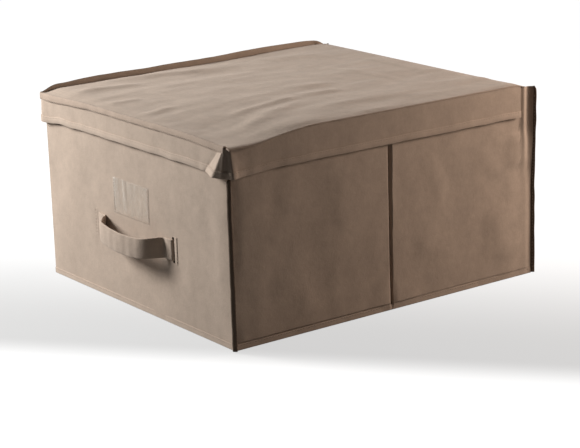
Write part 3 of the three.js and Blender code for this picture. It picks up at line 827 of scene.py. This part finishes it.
def corner_seam(place, signs, direction, offset, reaches, half_thickness, seed):
    """Two seam allowances sewn together, which stand out from a corner of the box"""
    node = f"{place}_corner_seam"
    low, high = extent(node)
    height = steps(low[2], high[2], SEAM_STEP)
    front = signs[1] < 0
    covered = HEM_LOW[2] + 1 if front else high[2]
    share = (height - low[2]) / (high[2] - low[2]) * (high[2] / covered)
    reach = np.interp(share, (0, 1), reaches) + edge_waves(height, seed, (0.35, 26))
    if front:
        tucked = ease(height, covered - SEAM_TUCK, covered)
        tucked = reaches[1] + (SEAM_UNDER_SKIRT - reaches[1]) * tucked
        reach = np.where(height > covered - SEAM_TUCK, tucked, reach)
    else:
        rounded = np.clip((height - high[2] + 7) / 7.6, 0, 1)
        reach = reach * np.sqrt(np.clip(1 - rounded ** 3, 0.05, 1))
    lean = edge_waves(height, seed + 5, (0.5, 60), (0.25, 18))
    half = half_thickness * np.where(front & (height > covered), SEAM_PRESSED, 1)
    drawn_out = offset[0] if front else SEAM_CURL_SHARE * rear_corner_curl(height)
    along = unit(np.array([*direction, 0]))
    aside = np.array([-along[1], along[0], 0])
    path = points(signs[0] * (HALF_WIDTH + drawn_out), signs[1] * (HALF_DEPTH - offset[1]), height)
    out_share, half_share = CORNER_OUTLINE.T
    standing = np.clip(out_share, 0, 1)
    out = np.minimum(out_share, 0) + standing * reach[:, None]
    section = points(out, half_share * half[:, None] + lean[:, None] * standing ** 2)
    # The corner seams take the corner_seam finish, which is painted dark as shade for the deep corners
    make(f"{place}_corner_welt", *sweep(path, along, aside, section), "corner_seam", "box", [node])
    shown = height < covered - SEAM_STITCH_END
    for number, sign in enumerate((-1, 1)):
        line = path + along * (reach * SEAM_SPREAD)[:, None] + aside * (sign * half * SEAM_FACE)[:, None]
        stitches(f"{node}_stitches_{number + 1}", line[shown], aside * sign, "box")


def hinge_cloth():
    """The cloth strip that joins the lid to the back wall, over the upper rear edge"""
    low, high = extent("hinge_tape")
    x = steps(low[0], high[0], LINING_STEP)
    profile = smooth_line([
        (250.35, low[2]), (250.75, low[2] + 4), (250.75, 252), (250.7, 258.4), (249.4, 260.7), (246, 260.95),
        (240, 260.55), (236, 260.2),
    ], 5)
    normal = plan_normals(profile)
    wave = waves(x, profile[:, :1], 51, (0.1, (30, 12)))
    panel = []
    for depth in (0, HINGE_CLOTH):
        y = profile[:, :1] + normal[:, :1] * (wave - depth)
        z = profile[:, 1:] + normal[:, 1:] * (wave - depth)
        panel.append(points(x, y, z))
    piece = make("hinge_cloth", *shell(*panel), "tape_cloth", None, ["hinge_tape"])
    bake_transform(piece)
    stitches("hinge_foot_stitches", points(x, 250.95, low[2] + 2.2), OUTWARD["back"], "box")
    stitches("hinge_lid_stitches", points(x, 238.2, 260.55), UP, "lid")


# Lid
LID_COLUMNS = 96
LID_UNDER_COLUMNS = 50
LID_REAR_INSET = 1.4
LID_REAR_ROWS = [240.5, 242.5, 244.5, 246.5]
LID_FRONT_RIDGE = 1.2

# Folds of the lid's cloth, each from a point (x, y) to another, with its half width and height
LID_FOLDS = [
    ((-176, -238), (-156, -120), 11, 3.0),
    ((-78, -240), (-74, -180), 9, 2.1),
    ((-212, -180), (-170, 30), 13, 2.55),
    ((14, -238), (-4, -176), 9, 2.1),
    ((106, -170), (76, -28), 10, 3.3),
    ((76, -40), (82, 40), 12, 2.4),
    ((182, -215), (100, -40), 14, 2.25),
    ((-120, -160), (-112, 60), 16, 1.65),
    ((30, -120), (22, 80), 15, 1.5),
    ((150, -90), (168, 120), 16, 1.5),
    ((-72, 118), (110, 138), 8, 1.35),
    ((-86, 202), (88, 199), 7, 1.35),
    ((-190, 70), (-140, 190), 16, 1.5),
]

# Outline of a welt that stands on an edge of the lid, and of the roll along its front
WELT_OUTLINE = np.array([
    (-0.05, -1), (0.3, -1), (0.7, -0.95), (0.93, -0.7), (1, 0), (0.93, 0.7), (0.7, 0.95), (0.3, 1), (-0.05, 1),
])
ROLL_OUTLINE = np.array([
    (-0.9, 0.9), (-0.2, 1), (0.5, 0.97), (0.9, 0.6), (1.05, 0), (1.15, -0.5), (1.05, -0.88), (0.6, -1),
    (-0.2, -0.9), (-0.9, -0.2),
])


def lid_lift(x, y):
    """How far the lid's cloth is puffed up over its board: not along the front, most along the right edge"""
    share = ease(x, -LID_HIGH[0], LID_HIGH[0])
    left = 4.5 * ease(y, -252, -226) + 2.5 * ease(y, 60, 180)
    right = 9.5 * ease(y, -228, -116)
    lift = left + (right - left) * share
    rear = 6.5 - 2.5 * share
    return lift + (rear - lift) * ease(y, 214, 246)


def lid_grid(columns, y, half):
    """A grid over the lid, which is narrower between the rear tabs of the side walls"""
    x_share, y = np.meshgrid(np.linspace(-1, 1, columns), y)
    return x_share * np.where(y > SKIRT_REAR, HALF_WIDTH - LID_REAR_INSET, half), y


def lid_top():
    y = steps(LID_LOW[1], LID_HIGH[1], PANEL_STEP, [SKIRT_REAR, SKIRT_REAR + 0.3, *LID_REAR_ROWS])
    x, y = lid_grid(LID_COLUMNS, y, LID_HIGH[0])
    rise = 1.4 + waves(x, y, 61, (1.0, (70, 170)), (0.55, (30, 80)), (0.22, (14, 34))) + folds(x, y, LID_FOLDS)
    rise = np.maximum(rise, 0) * ease(y - LID_LOW[1], 0, 10) * ease(LID_HIGH[0] - np.abs(x), 0, 12)
    rise = rise * ease(y, 242, 226) + LID_FRONT_RIDGE * np.exp(-(y - LID_LOW[1]) / 4)
    rise = rise + lid_lift(x, y) * ease(LID_HIGH[1] + 0.3 - y, 0, 8)
    panel = shell(points(x, y, LID_HIGH[2] + rise), points(x, y, LID_HIGH[2] + rise - CLOTH))
    piece = make("lid_top_cloth", *panel, "cloth", "lid", ["lid_cloth"])


def lid_under():
    low, high = extent("lid_lining")
    y = steps(low[1], high[1], LINING_STEP, [SKIRT_REAR, SKIRT_REAR + 0.3])
    x, y = lid_grid(LID_UNDER_COLUMNS, y, high[0])
    sag = np.clip(0.5 + waves(x, y, 71, (0.5, (80, 100)), (0.2, (30, 36))), 0, 1.4)
    sag = sag * ease(np.abs(x), 214, 196) * ease(np.abs(y), 238, 220)
    panel = shell(points(x, y, low[2] - sag), points(x, y, high[2] - sag))
    piece = make("lid_under_lining", *panel, "lining", "lid", ["lid_lining"])


def standing_welt(side, path, up, aside, reach, lean, half):
    """A seam allowance that stands along an edge of the lid, with an uneven top"""
    up_share, half_share = WELT_OUTLINE.T
    sway = lean[:, None] * np.clip(up_share, 0, 1) ** 1.5
    section = points(up_share * reach[:, None], half_share * half + sway)
    make(f"lid_{side}_welt", *sweep(path, up, aside, section), "seam_cloth", "lid", [f"lid_{side}_seam"])


def left_welt():
    """The seam along the left edge stands up, and gets lower toward both ends"""
    low, high = extent("lid_left_seam")
    y = steps(low[1], LID_HIGH[1] - 2.5, SEAM_STEP)
    reach = 7.0 + 2.2 * ease(y, -230, -160) + 1.6 * hump(y - 95, 45)
    reach = reach - 2 * ease(y, 190, 240) + edge_waves(y, 81, (0.5, 60))
    reach = reach * (0.5 + 0.5 * ease(y - low[1], 0, 16)) * (1 - 0.9 * ease(y, 224, 242))
    lean = edge_waves(y, 82, (1.1, 80), (0.5, 24))
    base = low[2] + lid_lift(low[0], y) * ease(LID_HIGH[1] - 3 - y, 0, 10)
    path = points((low[0] + high[0]) / 2 + 5.2 * ease(y - SKIRT_REAR, -6, 4), y, base)
    standing_welt("left", path, UP, OUTWARD["left"], reach, lean, 0.8)
    beside = y < SKIRT_REAR - 8
    stitches("lid_left_stitches", points(low[0] - 0.15, y, base)[beside], OUTWARD["left"], "lid")


def front_welt():
    """The seam along the front of the lid: a raised roll that hangs lower at both ends"""
    low, high = extent("lid_front_seam")
    x = steps(-SKIRT_X + 0.4, SKIRT_X - 5.5, SEAM_STEP)
    left_end = ease(x, -85, -215)
    right_end = ease(x, 130, 220)
    top = high[2] - 0.6 - 3.2 * left_end - 2.8 * right_end + edge_waves(x, 84, (0.4, 40))
    foot = low[2] - 1.4 - 5.2 * left_end - 3.6 * right_end + edge_waves(x, 85, (0.3, 30))
    reach = (2.3 + edge_waves(x, 86, (0.3, 26))) * (0.35 + 0.65 * ease(x + SKIRT_X, 0, 30))
    out_share, up_share = ROLL_OUTLINE.T
    section = points(out_share * reach[:, None], up_share * ((top - foot) / 2)[:, None])
    roll = sweep(points(x, SKIRT_FRONT, (top + foot) / 2), OUTWARD["front"], UP, section)
    make("lid_front_welt", *roll, "seam_cloth", "lid", ["lid_front_seam"])
    line = points(x, SKIRT_FRONT - 1.1 * reach - 0.1, foot + 1.8)
    stitches("lid_front_stitches", line, OUTWARD["front"], "lid")


def right_welt():
    """The seam along the right edge lies outward as a lip, widest near the front corner"""
    low, high = extent("lid_right_seam")
    y = steps(low[1], high[1], SEAM_STEP)
    share = ease(y - low[1], 90, 30)
    reach = 1.8 + 4.6 * share + edge_waves(y, 87, (0.2, 40))
    droop = -(0.3 + 1.3 * share + edge_waves(y, 88, (0.25, 30)))
    base = (low[2] + high[2]) / 2 + 0.35 + lid_lift(low[0], y)
    standing_welt("right", points(low[0], y, base), OUTWARD["right"], UP, reach, droop, 0.85)


# Skirt round the front and sides of the lid
SKIRT_ROWS = 14
SKIRT_LINING_ROWS = 8
SKIRT_HEIGHT = 40
HEM_OUT = 0.12
HEM_LIFT = 5.2
CORNER_SAMPLES = 6

# Plan of the skirt's outer face round each front corner, from the corner: toward the side and toward the back.
# At the right corner the cloth is folded over itself; at the left it only turns.
RIGHT_TOP = np.array([
    (-62, 0), (-24, 0), (-13.8, 0.1), (-12.6, -0.3), (-10, -0.8), (-7.8, -1.2), (-7, -1.4), (-6.5, -1.5),
    (-6, -1.5), (-5.3, -1.4), (-3.2, 0.9), (-1, 3), (-0.2, 3.6), (0.2, 4.6), (0, 8), (0, 14), (0, 27),
])
RIGHT_FOOT = np.array([
    (-62, 0), (-54, -0.1), (-48, 0.3), (-46, -0.5), (-34, -4.6), (-23, -8.9), (-20, -9.6), (-18, -9.2),
    (-13, -6.4), (-7.8, -3.4), (-6.4, -1.7), (-4.0, 1.0), (-0.8, 2.8), (3.8, 4.3), (4.2, 7), (2, 13), (0, 27),
])
LEFT_TOP = np.array([
    (-62, 0), (-24, 0), (-12, 0), (-6, 0), (-2.5, 0.3), (-0.6, 1.3), (0, 3.2), (0, 7), (0, 14), (0, 27),
])
LEFT_FOOT = np.array([
    (-62, 0), (-30, -0.3), (-16, -1.2), (-8, -1.6), (-3.2, -1), (-0.4, 0.8), (1.2, 3.4), (1.4, 8), (0.8, 15),
    (0, 27),
])


def skirt_half(top, foot, share):
    """Plan points of half of the skirt, from the middle of the front to the rear end, as if on the right"""
    corner = smooth_line(top + (foot - top) * share, CORNER_SAMPLES) + (SKIRT_X, SKIRT_FRONT)
    front_x = steps(0, corner[0, 0], PANEL_STEP)[:-1]
    side_y = steps(corner[-1, 1], SKIRT_REAR, PANEL_STEP)[1:]
    return np.concatenate([points(front_x, SKIRT_FRONT), corner, points(SKIRT_X, side_y)])


def skirt_line(share):
    """Plan points of the skirt's outer face from its rear left end to its rear right end"""
    left = skirt_half(LEFT_TOP, LEFT_FOOT, share)[:0:-1] * np.array([-1, 1])
    return np.concatenate([left, skirt_half(RIGHT_TOP, RIGHT_FOOT, share)])


def skirt_heights():
    """Heights of the skirt's top and of its lower edge along its line"""
    line = skirt_line(1)
    x, y = line.T
    top = SKIRT_TOP + 0.2 + lid_lift(np.clip(x, -LID_HIGH[0], LID_HIGH[0]), y)
    to_right = np.hypot(x - SKIRT_X, y - SKIRT_FRONT)
    to_left = np.hypot(x + SKIRT_X, y - SKIRT_FRONT)
    foot = HEM_LOW[2] + HEM_LIFT - 3.7 * hump(to_right, 48) - 3.9 * hump(to_left, 42)
    return top, foot + edge_waves(distances(line), 93, (0.45, 45))


def moved_out(line, distance):
    return line + plan_normals(line) * distance[:, None]


def skirt_wave(share):
    """Slight waves of the hanging cloth, less toward its top"""
    along = distances(skirt_line(0))
    wave = 0.35 + edge_waves(along, 91, (0.55, 70), (0.25, 28))
    return np.clip(wave, 0, 1.6) * (0.15 + 0.85 * share)


def skirt_grid(depth, drop=0, rows=SKIRT_ROWS):
    """A grid of points at a depth inside the skirt's outer face, from drop below its top to its hem"""
    top, foot = skirt_heights()
    grid = []
    for share in np.linspace(0, 1, rows):
        x, y = moved_out(skirt_line(share), skirt_wave(share) - depth).T
        grid.append(points(x, y, top - drop + (foot + 0.9 - top + drop) * share))
    return np.array(grid)


def skirt():
    panel = shell(skirt_grid(0), skirt_grid(CLOTH))
    piece = make("skirt_cloth", *panel, "cloth", "lid",
                 ["front_skirt", "left_skirt", "right_skirt", "left_corner_pleat", "right_corner_pleat"])
    panel = shell(*(skirt_grid(depth, 0.3, SKIRT_LINING_ROWS) for depth in (SKIRT_WALL - LINING, SKIRT_WALL)))
    lining_piece = make("skirt_inside_lining", *panel, "lining", "lid",
                        ["front_skirt_lining", "left_skirt_lining", "right_skirt_lining"])


def skirt_hem():
    """The tape folded round the lower edge of the skirt"""
    reach = HEM_HIGH[2] - HEM_LOW[2]
    wave = skirt_wave(1)
    foot = skirt_heights()[1]
    rings = []
    for out, up in folded_section(SKIRT_WALL + 2 * (TAPE + 0.1), reach, 1):
        x, y = moved_out(skirt_line(1 - up / SKIRT_HEIGHT), wave + out + TAPE + HEM_OUT).T
        rings.append(points(x, y, foot + up))
    rings = np.array(rings).transpose(1, 0, 2)
    make("skirt_hem_binding", *tube(rings), "tape_cloth", "lid",
         ["front_skirt_hem", "left_skirt_hem", "right_skirt_hem"])
    stitched = reach - TAPE_STITCH_INSET
    line = skirt_line(1 - stitched / SKIRT_HEIGHT)
    x, y = moved_out(line, wave + TAPE + 0.15).T
    stitches("skirt_hem_stitches", points(x, y, foot + stitched), points(*plan_normals(line).T, 0), "lid")


# Strap handle: sag is (x, how far the strap hangs down there)
STRAP_SAG = [(-92, 0), (-72, 0), (-48, 0.3), (-20, 2.6), (12, 4), (48, 3), (72, 0), (92, 0)]
STRAP_STEP = 1.6
STRAP_COLUMNS = 15
FOOT_X = 72.0
SHOULDER_X = 48.0
SHOULDER_OUT = 24.6
CROWN = 4.0
STRAP_FLAT = 1.35
STRAP_SEAM = 0.82
STRAP_GROOVE = 0.28
STRAP_CURL = 0.5
STRAP_FOLDS = [((86, -16), (60, 16), 3, 0.5), ((-64, -18), (-88, 12), 3, 0.4)]
OTHER_FACE = 9
LIP_BACK = -HALF_DEPTH + 0.2
LIP_CROWN = 0.3
LIP_STITCH_OUT = 0.25


def strap_line():
    """Centre line of the strap as (x, outward), from inside the right slot to inside the left slot"""
    crown = [(x, SHOULDER_OUT + CROWN * (1 - (x / SHOULDER_X) ** 2)) for x in (32, 16)]
    half = [
        (SLOT_X + 0.2, -3.6), (SLOT_X + 0.1, -1.2), (SLOT_X - 0.9, 0.95), (SLOT_X - 4, STRAP_FLAT),
        (82, STRAP_FLAT + 0.5), (76, STRAP_FLAT + 0.1), (FOOT_X + 1, STRAP_FLAT + 0.9), (FOOT_X - 2, 5.0),
        (FOOT_X - 7, 11.2), (SHOULDER_X + 11, 17.4), (SHOULDER_X + 4.5, 22.4),
        (SHOULDER_X - 3, SHOULDER_OUT + 0.6), *crown,
    ]
    left = [(-x, out) for x, out in half[::-1]]
    return even_line(smooth_line([*half, (0, SHOULDER_OUT + CROWN), *left], 10), STRAP_STEP)


def strap():
    """The strap, with two grooves, rows of stitches on its inner face, slight wrinkles and edges that curl"""
    line = strap_line()[::-1]
    x, out = line[:, :1], line[:, 1:]
    normal = -plan_normals(line)
    sag = np.interp(x, *smooth_line(STRAP_SAG, 8).T)
    section = strip_section(STRAP_WIDTH, STRAP_THICKNESS, STRAP_COLUMNS)
    across, through = section.T
    edge = np.abs(across) / (STRAP_WIDTH / 2)
    tuck = np.sign(through) * (np.abs(through) - STRAP_GROOVE * hump(edge - STRAP_SEAM, 0.07))
    wrinkle = waves(x, across, 101, (0.3, (12, 26))) + folds(x, across, STRAP_FOLDS)
    curl = STRAP_CURL * edge ** 2 * np.sign(out - 10) * ease(out, 6, 16)
    offset = tuck + wrinkle * (out > 0.8) - curl
    ring_x = x + normal[:, :1] * offset
    ring_out = out + normal[:, 1:] * offset
    rings = points(ring_x, -HALF_DEPTH - ring_out, STRAP_MIDDLE + across - sag)
    piece = make("strap_handle", *tube(rings), "strap_cloth", None,
                 ["strap_loop", "left_strap_end", "right_strap_end"])

    def nearest(place, face):
        """Index of the section's point nearest to a place across it, on the outer (1) or inner (-1) face"""
        return int(np.argmin(np.abs(across - place) + OTHER_FACE * (through * face < 0)))

    inward = unit(rings[:, nearest(0, -1)] - rings[:, nearest(0, 1)])
    free = out[:, 0] > STRAP_FLAT - 0.1
    pieces = [piece]
    for number, sign in enumerate((-1, 1)):
        row = rings[free, nearest(sign * STRAP_WIDTH / 2 * STRAP_SEAM, -1)] + inward[free] * STITCH_GAP
        pieces.append(stitches(f"strap_stitches_{number + 1}", row, inward[free], None))
    for piece in pieces:
        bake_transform(piece)


def slot_lip(side, sign, thickness):
    """A low ridge of tape beside a slot"""
    low, high = extent(f"{side}_slot_lip")
    z = steps(low[2], high[2], 2.5)
    width = high[0] - low[0]
    middle = (low[0] + high[0]) / 2
    path = points(middle + edge_waves(z, 111, (0.2, 12)), LIP_BACK - thickness / 2, z)
    section = strip_section(width, thickness, 7, 4)
    section[:, 1] += LIP_CROWN * (1 - (section[:, 0] / (width / 2)) ** 2) * (section[:, 1] > 0)
    ridge = sweep(path, OUTWARD["right"], OUTWARD["front"], section)
    make(f"{side}_slot_ridge", *ridge, "tape_cloth", "box", [f"{side}_slot_lip"])
    line = points(middle + sign * width * 0.3, LIP_BACK - LIP_STITCH_OUT - thickness, z)
    stitches(f"{side}_slot_stitches", line, OUTWARD["front"], "box")


# Label pocket
POCKET_TRIM = np.array([(10, 0, 2), (3, 0, -2)])
POCKET_FILM = 0.35
POCKET_BACK = 0.9
POCKET_SEAM = 1.6
POCKET_STITCH_OUT = 1.15


def label_pocket():
    """Clear film, sewn on at its foot and sides and slack at its top left"""
    low, high = extent("label_pocket_film") + POCKET_TRIM
    x, z = np.meshgrid(steps(low[0], high[0], 1.6), steps(low[2], high[2], 2.0))
    across = (x - low[0]) / (high[0] - low[0])
    rise = (z - low[2]) / (high[2] - low[2])
    inside = np.sqrt(np.clip(np.sin(across * math.pi), 0, 1)) * ease(rise, 0, 0.3)
    slack = 1 - 0.7 * ease(across, 0.3, 0.5)
    wave = 1.0 + slack * (0.9 * np.sin(across * 17 + 0.6) + 0.5 * np.sin(across * 36 + 2.2))
    wave = wave + waves(x, z, 121, (0.4, (14, 30)))
    top = high[2] + slack * edge_waves(x, 122, (1.4, 7)) * ease(rise, 0.8, 1)
    z = np.where(rise > 0.99, top, z)
    out = POCKET_BACK + inside * np.clip(wave, 0, 3) * (0.4 + 0.6 * rise)
    panel = wall_panel("front", x, z, out, POCKET_FILM)
    make("label_pocket", *panel, "film", "box", ["label_pocket_film"])
    left, right, foot = low[0] + POCKET_SEAM, high[0] - POCKET_SEAM, low[2] + POCKET_SEAM
    corners = [(left, high[2] - 1), (left, foot), (right, foot), (right, high[2] - 1)]
    line = even_line(np.array(corners), 1.0)
    stitches("pocket_stitches", on_wall("front", *line.T, POCKET_STITCH_OUT), OUTWARD["front"], "box", pitch=4)


# Loose base board
COVER_ROUNDING = 3.0
COVER_INSET = 0.0028


def board_cover():
    """The cover of the base board, rounded over the board's edges"""
    low, high = extent("base_board_cover")
    x, y = np.meshgrid(*(
        np.concatenate([
            [start], steps(start + 0.8, stop - 0.8, LINING_STEP, [start + 2, stop - 2]), [stop],
        ])
        for start, stop in zip(low[:2], high[:2])
    ))
    near = np.minimum(high[0] - np.abs(x), high[1] - np.abs(y))
    drop = 1 - np.sqrt(np.clip(1 - (1 - np.clip(near / COVER_ROUNDING, 0, 1)) ** 2, 0, 1))
    relief = np.clip(0.3 + waves(x, y, 131, (0.3, (80, 80)), (0.2, (26, 26))), 0, 0.9)
    top = high[2] + relief * ease(near, 0, 18) - COVER_ROUNDING * drop
    inset = 1 - COVER_INSET * ease(near, COVER_ROUNDING, 0)
    panel = shell(points(x, y, top), points(x * inset, y * inset, np.maximum(top - LINING, low[2])))
    piece = make("board_cover_cloth", *panel, "lining", "base_insert", ["base_board_cover"])


def dress_boards():
    """The finish of card for the solids that stay visible as they are"""
    for name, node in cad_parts.items():
        if name.endswith("stiffener") or name == "base_board":
            for slot in node.material_slots:
                slot.material = FINISHES["card"]


place_camera()
light_scene()
lay_floor()
dress_boards()
base_sheet()
front_wall()
back_wall()
side_wall("right", 21)
side_wall("left", 25)
for number, wall in enumerate(WALLS):
    wall_lining(wall, 35 + number)
for number, wall in enumerate(WALLS):
    bottom_tape(wall, 43 + number)
for wall in ("front", "left", "right"):
    rim_tape(wall)
for settings in CORNER_SEAMS:
    corner_seam(*settings)
hinge_cloth()
lid_top()
lid_under()
left_welt()
front_welt()
right_welt()
skirt()
skirt_hem()
strap()
slot_lip("right", 1, 0.5)
slot_lip("left", -1, 0.4)
label_pocket()
board_cover()

bpy.context.scene.view_settings.view_transform = "Standard"
